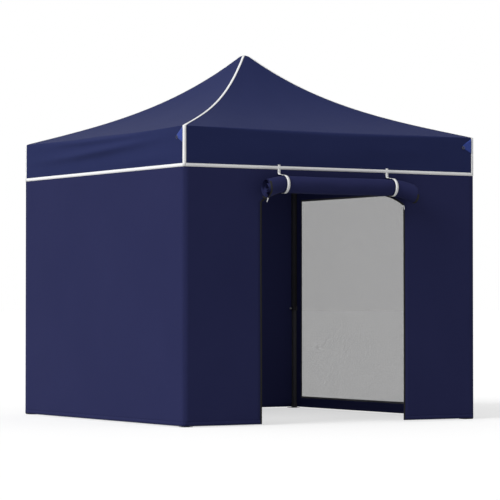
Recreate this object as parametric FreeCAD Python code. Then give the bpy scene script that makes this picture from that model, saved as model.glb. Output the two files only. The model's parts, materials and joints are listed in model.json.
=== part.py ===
"""Pop-up gazebo: folding steel frame, canopy with valance, and four hanging walls. Millimetres, +Z up.

The origin is on the ground, under the mast. The front (-Y) holds the doorway, and +X holds the mesh wall.
The frame has four-fold symmetry, so one leg, one side and one roof arm are made, and turned in quarter turns.
"""

import math
import os

import FreeCAD
import Part

V = FreeCAD.Vector
X, Y, Z = V(1, 0, 0), V(0, 1, 0), V(0, 0, 1)
SIDES = ("front", "right", "back", "left")
LEGS = ("front_left", "front_right", "back_right", "back_left")

# Canopy
CANOPY_SIZE = 3000.0
EAVE_HEIGHT = 2530.0
VALANCE_DEPTH = 343.0
ROOF_RISE = 785.0
ROOF_STRIPS = 10
ROOF_STRAIGHT_SHARE = 0.65
ROOF_CURVE_POWER = 3.2
CLOTH = 1.0
CLOTH_GAP = 0.3

# Walls and doorway
WALL_BOTTOM = 8.0
WALL_TUCK = 120.0
DOOR_HALF = 735.0
DOOR_TOP_DROP = 197.0
SHOULDER_DROP = 88.0
SHOULDER_REACH = 290.0
WINDOW_MARGIN = 133.0
WINDOW_BOTTOM = 115.0
WINDOW_TOP_DROP = 97.0
MESH_OVERLAP = 20.0
MESH_CLOTH = 0.6
ROLL_RADIUS = 80.0
ROLL_LAYERS = 4.2
ROLL_DROP = 50.0
ROLL_OVERHANG = 20.0
STRAP_THICK = 2.0
STRAP_WIDTH = 28.0
STRAP_INSET = 175.0

# Legs
OUTER_TUBE = 40.0
TUBE_WALL = 1.0
TUBE_GAP = 2.0
SLEEVE_WALL = 4.0
FRAME_GAP = 0.5
LEG_OVERLAP = 478.0
COLLAR_LIP = 5.0
COLLAR_HEIGHT = 40.0
COLLAR_WALL = 3.0
FOOT_PLATE = 4.0
FOOT_REACH = 66.0
FOOT_SOCKET_HEIGHT = 40.0
FOOT_SOCKET_WALL = 4.0
PEG_HOLE_RADIUS = 6.0
PEG_HOLE_REACH = 48.0
SLIDE_GAP = 0.4
RUNNING_GAP = 0.3

# Scissor truss
PIVOT_DROP = 35.0
TRUSS_DEPTH = 285.0
BAR_WIDTH = 24.0
BAR_THICK = 12.0
BAR_WALL = 0.8
BAR_SPACING = 2.0
LEG_SWING_GAP = 10.0
SIDE_SWING_GAP = 3.0
ARM_SWING_GAP = 4.6
HUB_SWING_GAP = 2.0
EAR_THICK = 4.0
EAR_RADIUS = 11.0
EAR_GAP = 0.4
CORE_HALF = 11.0
JOINT_HALF_HEIGHT = 14.0
RIVET_RADIUS = 4.0
RIVET_HEAD_RADIUS = 7.0
RIVET_HEAD = 3.0
RIVET_FIT = 0.05
PIVOT_FIT = 0.1
WASHER_RADIUS = 9.0

# Slider and lock pins
SLIDER_UP = 26.0
SLIDER_SKIRT = 10.0
FOLD_SPARE = 20.0
LOCK_SWING_GAP = 2.5
BOSS_RADIUS = 8.0
BOSS_LENGTH = 10.0
KNOB_NECK_RADIUS = 6.0
KNOB_NECK = 9.0
KNOB_RADIUS = 9.5
KNOB_HEAD = 5.0
PIN_RADIUS = 4.0
PIN_NOSE_GAP = 0.4

# Mast
MAST_RADIUS = 16.0
MAST_WALL = 1.5
MAST_SOCKET_RADIUS = 22.0
MAST_SOCKET_HEIGHT = 40.0
MAST_CAP_RADIUS = 30.0
MAST_CAP_HEIGHT = 14.0
PEAK_PATCH_MARGIN = 4.0

# Worked out from the sizes above: canopy and walls
HALF = CANOPY_SIZE / 2
HEM_HEIGHT = EAVE_HEIGHT - VALANCE_DEPTH
PEAK_HEIGHT = EAVE_HEIGHT + ROOF_RISE
PEAK_PATCH_HALF = MAST_CAP_RADIUS + PEAK_PATCH_MARGIN
ROOF_DROP = CLOTH * 1.1
WALL_OUT = HALF - CLOTH - CLOTH_GAP
WALL_IN = WALL_OUT - CLOTH
WALL_TOP = HEM_HEIGHT + WALL_TUCK
DOOR_TOP = HEM_HEIGHT - DOOR_TOP_DROP
WINDOW_TOP = HEM_HEIGHT - WINDOW_TOP_DROP
STRAP_PLACE = DOOR_HALF - STRAP_INSET
STRAP_RADIUS = ROLL_RADIUS + CLOTH_GAP + STRAP_THICK
ROLL_PLACE = WALL_OUT + CLOTH_GAP + STRAP_RADIUS
ROLL_HEIGHT = HEM_HEIGHT - ROLL_DROP - ROLL_RADIUS

# Pivots
SLEEVE_HALF = OUTER_TUBE / 2 + SLEEVE_WALL
LEG_PLACE = WALL_IN - FRAME_GAP - SLEEVE_HALF
BAR_OFFSET = (BAR_THICK + BAR_SPACING) / 2
EAR_HALF = BAR_THICK / 2 + EAR_GAP + EAR_THICK
LEG_PIVOT_REACH = SLEEVE_HALF + BAR_WIDTH / 2 + LEG_SWING_GAP
SIDE_PIVOT_REACH = CORE_HALF + BAR_WIDTH / 2 + SIDE_SWING_GAP
ARM_PIVOT_REACH = BAR_OFFSET + EAR_HALF + BAR_WIDTH / 2 + ARM_SWING_GAP
HUB_PIVOT_REACH = LEG_PIVOT_REACH + SIDE_PIVOT_REACH - ARM_PIVOT_REACH
HUB_HALF = HUB_PIVOT_REACH - BAR_WIDTH / 2 - HUB_SWING_GAP
BAY = LEG_PLACE - LEG_PIVOT_REACH - SIDE_PIVOT_REACH
BAR_LENGTH = math.hypot(BAY, TRUSS_DEPTH)
BAR_ANGLE = math.degrees(math.atan2(TRUSS_DEPTH, BAY))
PIVOT_HEIGHT = EAVE_HEIGHT - PIVOT_DROP
SLIDER_HEIGHT = PIVOT_HEIGHT - TRUSS_DEPTH

# Legs: the outer one is just long enough for the slider when the frame is folded
INNER_TUBE = OUTER_TUBE - 2 * (TUBE_WALL + TUBE_GAP)
LOCK_DROP = BAR_WIDTH / 2 + KNOB_RADIUS + LOCK_SWING_GAP
SLIDER_DOWN = LOCK_DROP + SLIDER_SKIRT
OUTER_LEG_BOTTOM = PIVOT_HEIGHT - BAR_LENGTH - SLIDER_DOWN - FOLD_SPARE - COLLAR_HEIGHT + COLLAR_LIP
INNER_LEG_LENGTH = OUTER_LEG_BOTTOM + LEG_OVERLAP - FOOT_PLATE
COLLAR_HALF = OUTER_TUBE / 2 + COLLAR_WALL
LOCK_HEIGHT = OUTER_LEG_BOTTOM - COLLAR_LIP + COLLAR_HEIGHT / 2


def block(low, high):
    """A box between two corners."""
    size = V(*high) - V(*low)
    return Part.makeBox(size.x, size.y, size.z, V(*low))


def square(half, low, high):
    """An upright square bar about the Z axis."""
    return block((-half, -half, low), (half, half, high))


def square_tube(half, wall, low, high):
    return square(half, low, high).cut(square(half - wall, low, high))


def turned(shape, quarters):
    """The shape, turned about the Z axis by quarter turns."""
    copy = shape.copy()
    copy.rotate(V(0, 0, 0), Z, 90 * quarters)
    return copy


def moved(shape, x, y, z):
    copy = shape.copy()
    copy.translate(V(x, y, z))
    return copy


def fused(shapes):
    """One solid from shapes that overlap or meet."""
    return shapes[0].multiFuse(shapes[1:]).removeSplitter().Solids[0]


def polygon_face(points):
    return Part.Face(Part.makePolygon([V(*p) for p in points] + [V(*points[0])]))


# Truss bars and their rivets


def stadium(width, depth):
    """A bar with round ends, along X from one pivot to the other, centred in Y."""
    half = width / 2
    a, b = V(0, -depth / 2, -half), V(BAR_LENGTH, -depth / 2, -half)
    c, d = V(BAR_LENGTH, -depth / 2, half), V(0, -depth / 2, half)
    wire = Part.Wire(
        [
            Part.LineSegment(a, b).toShape(),
            Part.Arc(b, V(BAR_LENGTH + half, -depth / 2, 0), c).toShape(),
            Part.LineSegment(c, d).toShape(),
            Part.Arc(d, V(-half, -depth / 2, 0), a).toShape(),
        ]
    )
    return Part.Face(wire).extrude(Y * depth)


def bar_tube():
    tube = stadium(BAR_WIDTH, BAR_THICK).cut(stadium(BAR_WIDTH - 2 * BAR_WALL, BAR_THICK - 2 * BAR_WALL))
    holes = [
        Part.makeCylinder(RIVET_RADIUS + PIVOT_FIT, BAR_THICK, V(x, -BAR_THICK / 2, 0), Y)
        for x in (0, BAR_LENGTH / 2, BAR_LENGTH)
    ]
    return tube.cut(holes[0].fuse(holes[1:])).Solids[0]


def rivet(low, high):
    """A rivet along Y, whose heads start at low and high."""
    shank = Part.makeCylinder(RIVET_RADIUS, high - low, V(0, low, 0), Y)
    heads = [
        Part.makeCylinder(RIVET_HEAD_RADIUS, RIVET_HEAD, V(0, start, 0), Y)
        for start in (low - RIVET_HEAD, high)
    ]
    return fused([shank, *heads])


def crossing_rivet(side):
    """The rivet where two bars cross, and the washer between them. side is +1 where the bar that
    carries them lies towards +Y."""
    near, far = BAR_OFFSET + BAR_THICK / 2, BAR_OFFSET + BAR_THICK / 2 + RUNNING_GAP
    pin = rivet(-far, near) if side > 0 else rivet(-near, far)
    thick = BAR_SPACING - RUNNING_GAP
    start = BAR_SPACING / 2 - thick if side > 0 else -BAR_SPACING / 2
    ring = Part.makeCylinder(WASHER_RADIUS, thick, V(0, start, 0), Y).cut(
        Part.makeCylinder(RIVET_RADIUS + RIVET_FIT, thick, V(0, start, 0), Y)
    )
    return [pin, ring]


def truss_bar(rising, offset, carries):
    """A bar of one crossed pair, along X from 0 to BAY, and from the lower pivots' height when it rises.
    offset is its place across the pair, and carries is true for the bar that holds the rivet."""
    tube = bar_tube()
    tube.rotate(V(0, 0, 0), Y, -BAR_ANGLE if rising else BAR_ANGLE)
    tube.translate(V(0, offset, SLIDER_HEIGHT if rising else PIVOT_HEIGHT))
    if not carries:
        return [tube]
    middle = (BAY / 2, 0, (SLIDER_HEIGHT + PIVOT_HEIGHT) / 2)
    return [tube] + [moved(s, *middle) for s in crossing_rivet(1 if offset > 0 else -1)]


def side_bars():
    """The four bars of the front side: from the left leg to the middle, then on to the right leg."""
    start = -LEG_PLACE + LEG_PIVOT_REACH
    falling = truss_bar(False, BAR_OFFSET, False)
    rising = truss_bar(True, -BAR_OFFSET, True)
    left = [[moved(s, start, -LEG_PLACE, 0) for s in bar] for bar in (falling, rising)]
    return {
        1: left[0],
        2: left[1],
        3: [s.mirror(V(0, 0, 0), X) for s in left[1]],
        4: [s.mirror(V(0, 0, 0), X) for s in left[0]],
    }


def arm_bars():
    """The two crossed bars from the front side's middle in to the hubs."""
    falling = truss_bar(False, BAR_OFFSET, False)
    rising = truss_bar(True, -BAR_OFFSET, True)
    start = -LEG_PLACE + ARM_PIVOT_REACH
    return {
        number: [moved(turned(s, 1), 0, start, 0) for s in bar]
        for number, bar in ((1, falling), (2, rising))
    }


# Pivoting brackets


def ears(reach, offset, start, quarters):
    """Two ears and their rivet, for a bar that leaves along X turned by quarters. offset is the bar's
    place across that direction."""
    plates = []
    for low in (offset - EAR_HALF, offset + EAR_HALF - EAR_THICK):
        plate = block((start, low, -EAR_RADIUS), (reach, low + EAR_THICK, EAR_RADIUS))
        plate = plate.fuse(Part.makeCylinder(EAR_RADIUS, EAR_THICK, V(reach, low, 0), Y))
        hole = Part.makeCylinder(RIVET_RADIUS + RIVET_FIT, EAR_THICK, V(reach, low, 0), Y)
        plates.append(turned(plate.cut(hole), quarters))
    pin = moved(rivet(offset - EAR_HALF, offset + EAR_HALF), reach, 0, 0)
    return plates, turned(pin, quarters)


def bracket(body, reaches):
    """A moulded body with its ears fused on, and its rivets. reaches lists each pair of ears."""
    plates, pins = [], []
    for reach in reaches:
        made, pin = ears(*reach)
        plates += made
        pins.append(pin)
    return fused([body, *plates]), pins


def middle_joint(upper):
    """The joint at the middle of the front side, about its own centre: two side bars and one arm bar."""
    across = -BAR_OFFSET if upper else BAR_OFFSET
    low, high = across - EAR_HALF, BAR_OFFSET + EAR_HALF
    core = block((-CORE_HALF, low, -JOINT_HALF_HEIGHT), (CORE_HALF, high, JOINT_HALF_HEIGHT))
    body, pins = bracket(
        core,
        [
            (SIDE_PIVOT_REACH, across, 0, 0),
            (SIDE_PIVOT_REACH, -across, 0, 2),
            (ARM_PIVOT_REACH, -across, high - EAR_THICK, 1),
        ],
    )
    height = PIVOT_HEIGHT if upper else SLIDER_HEIGHT
    return [moved(s, 0, -LEG_PLACE, height) for s in [body, *pins]]


def hub(upper):
    """The hub that the four roof arms meet at. The upper one has the mast's socket."""
    core = square(HUB_HALF, -JOINT_HALF_HEIGHT, JOINT_HALF_HEIGHT)
    if upper:
        socket = Part.makeCylinder(MAST_SOCKET_RADIUS, MAST_SOCKET_HEIGHT, V(0, 0, JOINT_HALF_HEIGHT))
        core = core.fuse(socket)
    offset = BAR_OFFSET if upper else -BAR_OFFSET
    body, pins = bracket(core, [(HUB_PIVOT_REACH, offset, HUB_HALF - 1, k) for k in range(4)])
    if upper:
        bore = Part.makeCylinder(
            MAST_RADIUS, MAST_SOCKET_HEIGHT + 2 * JOINT_HALF_HEIGHT, V(0, 0, -JOINT_HALF_HEIGHT)
        )
        body = body.cut(bore).Solids[0]
    height = PIVOT_HEIGHT if upper else SLIDER_HEIGHT
    return [moved(s, 0, 0, height) for s in [body, *pins]]


def mast():
    """The round mast in the upper hub's socket, and the cap that the canopy's peak lies on."""
    bottom = PIVOT_HEIGHT - JOINT_HALF_HEIGHT
    top = PEAK_HEIGHT - ROOF_DROP - CLOTH_GAP
    seat = top - MAST_CAP_HEIGHT
    tube = Part.makeCylinder(MAST_RADIUS, seat - bottom, V(0, 0, bottom)).cut(
        Part.makeCylinder(MAST_RADIUS - MAST_WALL, seat - bottom, V(0, 0, bottom))
    )
    cap = Part.makeCylinder(MAST_CAP_RADIUS, MAST_CAP_HEIGHT, V(0, 0, seat))
    rim = [e for e in cap.Edges if e.Closed and e.BoundBox.ZMin > seat + 1]
    cap = cap.makeFillet(MAST_CAP_HEIGHT / 2, rim)
    return [tube.Solids[0], cap.Solids[0]]


# Legs. Each is made about its own axis, with +X and +Y towards its neighbours.


def boss(face, height):
    """The guide that a lock pin slides in, out to the side of a face."""
    return Part.makeCylinder(BOSS_RADIUS, BOSS_LENGTH + 1, V(face - 1, 0, height), X)


def pin_hole(start, face, height):
    return Part.makeCylinder(PIN_RADIUS + PIVOT_FIT, face + BOSS_LENGTH - start, V(start, 0, height), X)


def sleeve_cap(top):
    """The moulded cap on the outer leg, with the upper pivots of two sides."""
    half = OUTER_TUBE / 2
    bottom = PIVOT_HEIGHT - JOINT_HALF_HEIGHT - SLEEVE_WALL
    cap = square(SLEEVE_HALF, bottom, top).cut(square(half, bottom, top - SLEEVE_WALL))
    body, pins = bracket(
        moved(cap, 0, 0, -PIVOT_HEIGHT),
        [
            (LEG_PIVOT_REACH, BAR_OFFSET, SLEEVE_HALF - 1, 0),
            (LEG_PIVOT_REACH, -BAR_OFFSET, SLEEVE_HALF - 1, 1),
        ],
    )
    return [moved(s, 0, 0, PIVOT_HEIGHT) for s in [body, *pins]]


def collar():
    """The moulded collar at the outer leg's foot, which closes round the inner leg and holds its lock pin."""
    bottom = OUTER_LEG_BOTTOM - COLLAR_LIP
    top = bottom + COLLAR_HEIGHT
    body = square(COLLAR_HALF, bottom, top).fuse(boss(COLLAR_HALF, LOCK_HEIGHT))
    body = body.cut(square(INNER_TUBE / 2 + RUNNING_GAP, bottom, top))
    return body.cut(square(OUTER_TUBE / 2, OUTER_LEG_BOTTOM, top))


def outer_leg():
    top = EAVE_HEIGHT - ROOF_DROP - FRAME_GAP
    tube = square_tube(OUTER_TUBE / 2, TUBE_WALL, OUTER_LEG_BOTTOM, top - SLEEVE_WALL)
    hole = pin_hole(INNER_TUBE / 2, COLLAR_HALF, LOCK_HEIGHT)
    return [tube.cut(hole).Solids[0], *sleeve_cap(top), collar().cut(hole).Solids[0]]


def inner_leg():
    """The telescoping tube and the foot that it stands in, with a hole for a ground peg."""
    half = INNER_TUBE / 2
    tube = square_tube(half, TUBE_WALL, FOOT_PLATE, FOOT_PLATE + INNER_LEG_LENGTH).Solids[0]
    plate = block((-SLEEVE_HALF, -SLEEVE_HALF, 0), (FOOT_REACH, FOOT_REACH, FOOT_PLATE))
    socket_top = FOOT_PLATE + FOOT_SOCKET_HEIGHT
    socket = square_tube(half + FOOT_SOCKET_WALL, FOOT_SOCKET_WALL, FOOT_PLATE, socket_top)
    peg_hole = Part.makeCylinder(PEG_HOLE_RADIUS, FOOT_PLATE, V(PEG_HOLE_REACH, PEG_HOLE_REACH, 0))
    return [tube, fused([plate, socket]).cut(peg_hole).Solids[0]]


def slider():
    """The bracket that runs on the outer leg and carries the lower end of the scissors."""
    body = square(SLEEVE_HALF, -SLIDER_DOWN, SLIDER_UP).fuse(boss(SLEEVE_HALF, -LOCK_DROP))
    body, pins = bracket(
        body,
        [
            (LEG_PIVOT_REACH, -BAR_OFFSET, SLEEVE_HALF - 1, 0),
            (LEG_PIVOT_REACH, BAR_OFFSET, SLEEVE_HALF - 1, 1),
        ],
    )
    inside = OUTER_TUBE / 2 + SLIDE_GAP
    body = body.cut(square(inside, -SLIDER_DOWN, SLIDER_UP))
    body = body.cut(pin_hole(OUTER_TUBE / 2, SLEEVE_HALF, -LOCK_DROP))
    return [moved(s, 0, 0, SLIDER_HEIGHT) for s in [body.Solids[0], *pins]]


def lock_pin(tube_half, face, height):
    """A pull pin along X: its nose stops short of the tube, and its knob stands off the boss."""
    nose = tube_half + PIN_NOSE_GAP
    neck = face + BOSS_LENGTH + RUNNING_GAP
    pin = [
        Part.makeCylinder(PIN_RADIUS, neck - nose + 1, V(nose, 0, height), X),
        Part.makeCylinder(KNOB_NECK_RADIUS, KNOB_NECK, V(neck, 0, height), X),
        Part.makeCylinder(KNOB_RADIUS, KNOB_HEAD, V(neck + KNOB_NECK, 0, height), X),
    ]
    return [fused(pin)]


# Cloth


def roof_rings():
    """(half width, height) of the roof's outside, from the eaves to the peak patch: a slope that
    steepens towards the peak."""
    rings = []
    for i in range(ROOF_STRIPS + 1):
        half = HALF + (PEAK_PATCH_HALF - HALF) * i / ROOF_STRIPS
        s = i / ROOF_STRIPS
        rise = ROOF_STRAIGHT_SHARE * s + (1 - ROOF_STRAIGHT_SHARE) * s**ROOF_CURVE_POWER
        rings.append((half, EAVE_HEIGHT + rise * (PEAK_HEIGHT - EAVE_HEIGHT)))
    return rings


def roof_strip(outer, inner, drop):
    """The flat strip between two rings, on the outside of the cloth or drop below it."""
    (w0, z0), (w1, z1) = outer, inner
    low, high = z0 - drop, z1 - drop
    return polygon_face([(-w0, -w0, low), (w0, -w0, low), (w1, -w1, high), (-w1, -w1, high)])


def roof_panel():
    """The front roof panel: flat strips between square rings, with its sides in the hip planes."""
    rings = roof_rings()
    faces = [roof_strip(a, b, drop) for drop in (0, ROOF_DROP) for a, b in zip(rings, rings[1:])]
    for side in (-1, 1):
        outside = [(side * w, -w, z) for w, z in rings]
        inside = [(side * w, -w, z - ROOF_DROP) for w, z in reversed(rings)]
        faces.append(polygon_face(outside + inside))
    for w, z in (rings[0], rings[-1]):
        low = z - ROOF_DROP
        faces.append(polygon_face([(-w, -w, z), (w, -w, z), (w, -w, low), (-w, -w, low)]))
    solid = Part.Solid(Part.Shell(faces))
    if solid.Volume < 0:
        solid.reverse()
    return solid


def canopy():
    """Four roof panels and the peak patch, and the four valance strips that hang from the eaves."""
    panel = roof_panel()
    patch = square(PEAK_PATCH_HALF, PEAK_HEIGHT - ROOF_DROP, PEAK_HEIGHT)
    valance_top = EAVE_HEIGHT - ROOF_DROP
    long_strip = block((-HALF, -HALF, HEM_HEIGHT), (HALF, -HALF + CLOTH, valance_top))
    short_strip = block((-HALF + CLOTH, -HALF, HEM_HEIGHT), (HALF - CLOTH, -HALF + CLOTH, valance_top))
    strips = [turned(long_strip if k % 2 == 0 else short_strip, k) for k in range(4)]
    return [turned(panel, k) for k in range(4)] + [patch] + strips


def wall_sheet(half):
    """A whole wall at the front, out to half each way from its middle."""
    return block((-half, -WALL_OUT, WALL_BOTTOM), (half, -WALL_IN, WALL_TOP))


def doorway():
    """The doorway as a block through the front wall: upright sides, and shoulders that curve in to
    the top."""
    radius = (SHOULDER_REACH**2 + SHOULDER_DROP**2) / (2 * SHOULDER_DROP)
    half_turn = math.asin(SHOULDER_REACH / radius) / 2
    flat = DOOR_HALF - SHOULDER_REACH
    bulge, rise = radius * math.sin(half_turn), radius * (1 - math.cos(half_turn))

    def at(x, z):
        return V(x, -WALL_OUT - 1, z)

    foot, shoulder = at(DOOR_HALF, WALL_BOTTOM - 1), at(DOOR_HALF, DOOR_TOP - SHOULDER_DROP)
    right = [
        Part.LineSegment(foot, shoulder).toShape(),
        Part.Arc(shoulder, at(flat + bulge, DOOR_TOP - rise), at(flat, DOOR_TOP)).toShape(),
        Part.LineSegment(at(flat, DOOR_TOP), at(0, DOOR_TOP)).toShape(),
    ]
    left = [edge.mirror(V(0, 0, 0), X) for edge in reversed(right)]
    threshold = Part.LineSegment(at(-DOOR_HALF, foot.z), foot).toShape()
    return Part.Face(Part.Wire([*right, *left, threshold])).extrude(Y * (CLOTH + 2))


def strap(x):
    """A webbing tie: a loop round the rolled door, and the tail that hangs it from under the hem."""
    low = x - STRAP_WIDTH / 2
    centre = V(low, -ROLL_PLACE, ROLL_HEIGHT)
    loop = Part.makeCylinder(STRAP_RADIUS, STRAP_WIDTH, centre, X)
    back = -WALL_OUT - CLOTH_GAP
    tail = block((low, back - STRAP_THICK, ROLL_HEIGHT), (low + STRAP_WIDTH, back, HEM_HEIGHT - CLOTH_GAP))
    inside = Part.makeCylinder(ROLL_RADIUS + CLOTH_GAP, STRAP_WIDTH, centre, X)
    return loop.fuse(tail).removeSplitter().cut(inside).Solids[0]


def rolled_door():
    """The door's cloth, wound into a loose roll that is wider than the doorway."""
    half = DOOR_HALF + ROLL_OVERHANG
    start = V(-half, -ROLL_PLACE, ROLL_HEIGHT)
    roll = Part.makeCylinder(ROLL_RADIUS, 2 * half, start, X)
    return [roll.cut(Part.makeCylinder(ROLL_RADIUS - ROLL_LAYERS, 2 * half, start, X)).Solids[0]]


def front_wall():
    return [wall_sheet(WALL_OUT).cut(doorway()).Solids[0], strap(-STRAP_PLACE), strap(STRAP_PLACE)]


def mesh_wall():
    """The right wall: a border with a large window, and the mesh behind it."""
    edge = WALL_IN - CLOTH_GAP
    window = edge - WINDOW_MARGIN
    hole = block((-window, -WALL_OUT - 1, WINDOW_BOTTOM), (window, -WALL_IN + 1, WINDOW_TOP))
    reach = window + MESH_OVERLAP
    mesh = block(
        (-reach, -WALL_IN, WINDOW_BOTTOM - MESH_OVERLAP),
        (reach, -WALL_IN + MESH_CLOTH, WINDOW_TOP + MESH_OVERLAP),
    )
    return [turned(s, 1) for s in (wall_sheet(edge).cut(hole).Solids[0], mesh)]


def plain_walls():
    return [turned(wall_sheet(WALL_OUT), 2), turned(wall_sheet(WALL_IN - CLOTH_GAP), 3)]


def export(name, solids):
    for s in solids:
        if not s.isValid() or s.Volume <= 0:
            raise ValueError(f"{name} has a bad solid")
    Part.makeCompound(solids).exportStep(f"parts/{name}.step")


def export_legs():
    pieces = {
        "outer_leg": outer_leg(),
        "inner_leg": inner_leg(),
        "slider": slider(),
        "slider_pin": lock_pin(OUTER_TUBE / 2, SLEEVE_HALF, SLIDER_HEIGHT - LOCK_DROP),
        "leg_pin": lock_pin(INNER_TUBE / 2, COLLAR_HALF, LOCK_HEIGHT),
    }
    for piece, solids in pieces.items():
        for k, leg in enumerate(LEGS):
            export(f"{piece}_{leg}", [turned(moved(s, -LEG_PLACE, -LEG_PLACE, 0), k) for s in solids])


def export_sides():
    pieces = {"upper_joint": middle_joint(True), "lower_joint": middle_joint(False)}
    pieces |= {f"side_bar_{n}": bar for n, bar in side_bars().items()}
    pieces |= {f"roof_bar_{n}": bar for n, bar in arm_bars().items()}
    for piece, solids in pieces.items():
        for k, side in enumerate(SIDES):
            export(f"{side}_{piece}", [turned(s, k) for s in solids])


def main():
    os.makedirs("parts", exist_ok=True)
    export_legs()
    export_sides()
    export("upper_hub", hub(True))
    export("lower_hub", hub(False))
    export("mast", mast())
    export("canopy", canopy())
    export("front_wall", front_wall())
    export("rolled_door", rolled_door())
    export("plain_walls", plain_walls())
    export("mesh_wall", mesh_wall())


main()
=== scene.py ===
# %% [markdown]
# # A pop-up gazebo
#
# This notebook dresses a finished steel frame: the tented roof with its valance, four hanging walls, the
# rolled-up door, white binding tape and zips. The frame's parts come in ready made and stay where they are.
# Everything soft is built here around them, in metres, with +Z up and the doorway at -Y.

# %% Load the frame
import json
import math

import bmesh
import bpy
from mathutils import Matrix, Vector, noise

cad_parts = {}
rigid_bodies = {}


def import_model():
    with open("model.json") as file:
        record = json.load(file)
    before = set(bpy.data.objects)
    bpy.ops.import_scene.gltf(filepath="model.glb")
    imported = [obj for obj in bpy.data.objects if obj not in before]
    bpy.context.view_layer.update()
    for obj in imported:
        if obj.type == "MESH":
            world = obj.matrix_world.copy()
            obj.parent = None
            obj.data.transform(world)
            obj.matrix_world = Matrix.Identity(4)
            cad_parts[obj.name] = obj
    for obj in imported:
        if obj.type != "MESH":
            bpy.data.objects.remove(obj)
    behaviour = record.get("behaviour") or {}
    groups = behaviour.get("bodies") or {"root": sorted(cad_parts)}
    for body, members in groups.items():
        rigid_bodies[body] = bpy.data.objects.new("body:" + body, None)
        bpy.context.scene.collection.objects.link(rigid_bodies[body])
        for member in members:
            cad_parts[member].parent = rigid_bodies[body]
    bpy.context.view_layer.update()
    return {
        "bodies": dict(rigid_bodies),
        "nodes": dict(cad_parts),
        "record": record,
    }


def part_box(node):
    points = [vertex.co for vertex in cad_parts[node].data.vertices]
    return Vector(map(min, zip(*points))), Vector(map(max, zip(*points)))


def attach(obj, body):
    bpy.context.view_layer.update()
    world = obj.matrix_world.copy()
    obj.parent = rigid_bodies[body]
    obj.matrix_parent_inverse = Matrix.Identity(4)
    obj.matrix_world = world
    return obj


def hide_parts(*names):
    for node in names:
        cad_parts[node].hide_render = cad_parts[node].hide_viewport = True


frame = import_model()

# %% [markdown]
# ## Sizes
#
# The cloth has to fit the frame, so the main sizes are read off its parts. Only what the parts can't tell,
# such as a tape's width or how deep a fold is, is written here as a number.

# %% Sizes read from the frame
canopy_low, canopy_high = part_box("canopy")
HALF = canopy_high.x
HEM = canopy_low.z
PEAK = canopy_high.z
EAVE = max(v.co.z for v in frame["nodes"]["canopy"].data.vertices if v.co.x > HALF - 0.0005)
wall_low, wall_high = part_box("plain_walls")
WALL_OUT = -wall_low.x
WALL_BOTTOM, WALL_TOP = wall_low.z, wall_high.z
front_points = [v.co for v in frame["nodes"]["front_wall"].data.vertices]
DOOR_HALF = min(abs(p.x) for p in front_points if p.z < WALL_BOTTOM + 0.1)
DOOR_SHOULDER = max(p.z for p in front_points if abs(abs(p.x) - DOOR_HALF) < 0.0005)
DOOR_TOP = min(p.z for p in front_points if abs(p.x) < DOOR_HALF / 3)
strap_points = [p for p in front_points if p.y < -HALF - 0.005]
STRAP_PLACE = sum(abs(p.x) for p in strap_points) / len(strap_points)
roll_low, roll_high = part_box("rolled_door")
ROLL_RADIUS = (roll_high.z - roll_low.z) / 2
ROLL_CENTRE = (roll_low + roll_high) / 2
ROLL_HALF = roll_high.x
LEG_PLACE = sum(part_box("inner_leg_front_right")[k].x for k in (0, 1)) / 2
print("canopy", round(2 * HALF, 3), "hem", round(HEM, 3), "eave", round(EAVE, 3), "peak", round(PEAK, 3))
print("door", round(2 * DOOR_HALF, 3), "shoulder", round(DOOR_SHOULDER, 3), "top", round(DOOR_TOP, 3))

# %% Sizes of the soft parts
CLOTH = 0.001
TAPE = 0.0008
HEM_BAND = 0.027
CORNER_BAND = 0.022
HIP_BAND = 0.015
ZIP_TAPE = 0.015
STRAP_WIDTH = 0.027
SHOULDER_REACH = 0.29
WINDOW_MARGIN = 0.133
WINDOW_BOTTOM = 0.115
WINDOW_TOP = HEM - 0.130
SIDES = ("front", "right", "back", "left")
LEGS = ("front_left", "front_right", "back_right", "back_left")

# %% [markdown]
# ## Cloth finishes
#
# Coated polyester is matt, with a fine plain weave and slow changes of tone where it has been folded. A
# texture picture would blur up close and tile from afar, so each finish is a small node tree on the cloth's
# own UV map, which is in metres: one unit of the pattern is one metre of cloth.

# %% Helpers for node trees
def node_maker(tree):
    """The function that adds a node to a tree. Each socket takes a value, or another node's output as a link."""

    def add(kind, sockets=(), **settings):
        node = tree.nodes.new(kind)
        for key, value in settings.items():
            setattr(node, key, value)
        for key, value in dict(sockets).items():
            if isinstance(value, bpy.types.NodeSocket):
                tree.links.new(value, node.inputs[key])
            else:
                node.inputs[key].default_value = value
        return node

    return add


def new_material(name, roughness=0.6, metallic=0.0):
    """A material, its shader, and the function that adds nodes to it."""
    material = bpy.data.materials.new(name)
    material.use_nodes = True
    shader = material.node_tree.nodes["Principled BSDF"]
    shader.inputs["Roughness"].default_value = roughness
    shader.inputs["Metallic"].default_value = metallic
    return material, shader, node_maker(material.node_tree)


def dress(shader, finished):
    """Links finished colours, heights or alphas to the shader's sockets."""
    for name, value in finished.items():
        shader.id_data.links.new(value, shader.inputs[name])


def tone(add, factor, dark, light):
    """A colour between two, by a factor from 0 to 1."""
    ramp = add("ShaderNodeValToRGB", {"Fac": factor})
    ramp.color_ramp.elements[0].color = (*dark, 1)
    ramp.color_ramp.elements[1].color = (*light, 1)
    return ramp.outputs["Color"]


WAVE_UNIT = 2 * math.pi / 20  # a Wave Texture at this scale has one wave to the metre


def crossed_waves(add, vector, threads, distortion, joined):
    """Threads both ways, that many to the metre: ADD gives a plain weave's height, MAXIMUM a net's yarn."""
    waves = []
    for direction in ("X", "Y"):
        wave = add(
            "ShaderNodeTexWave",
            {"Vector": vector, "Scale": threads * WAVE_UNIT, "Distortion": distortion, "Detail": 1.0},
            bands_direction=direction,
        )
        waves.append(wave.outputs["Fac"])
    return add("ShaderNodeMath", {0: waves[0], 1: waves[1]}, operation=joined).outputs[0]


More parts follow.
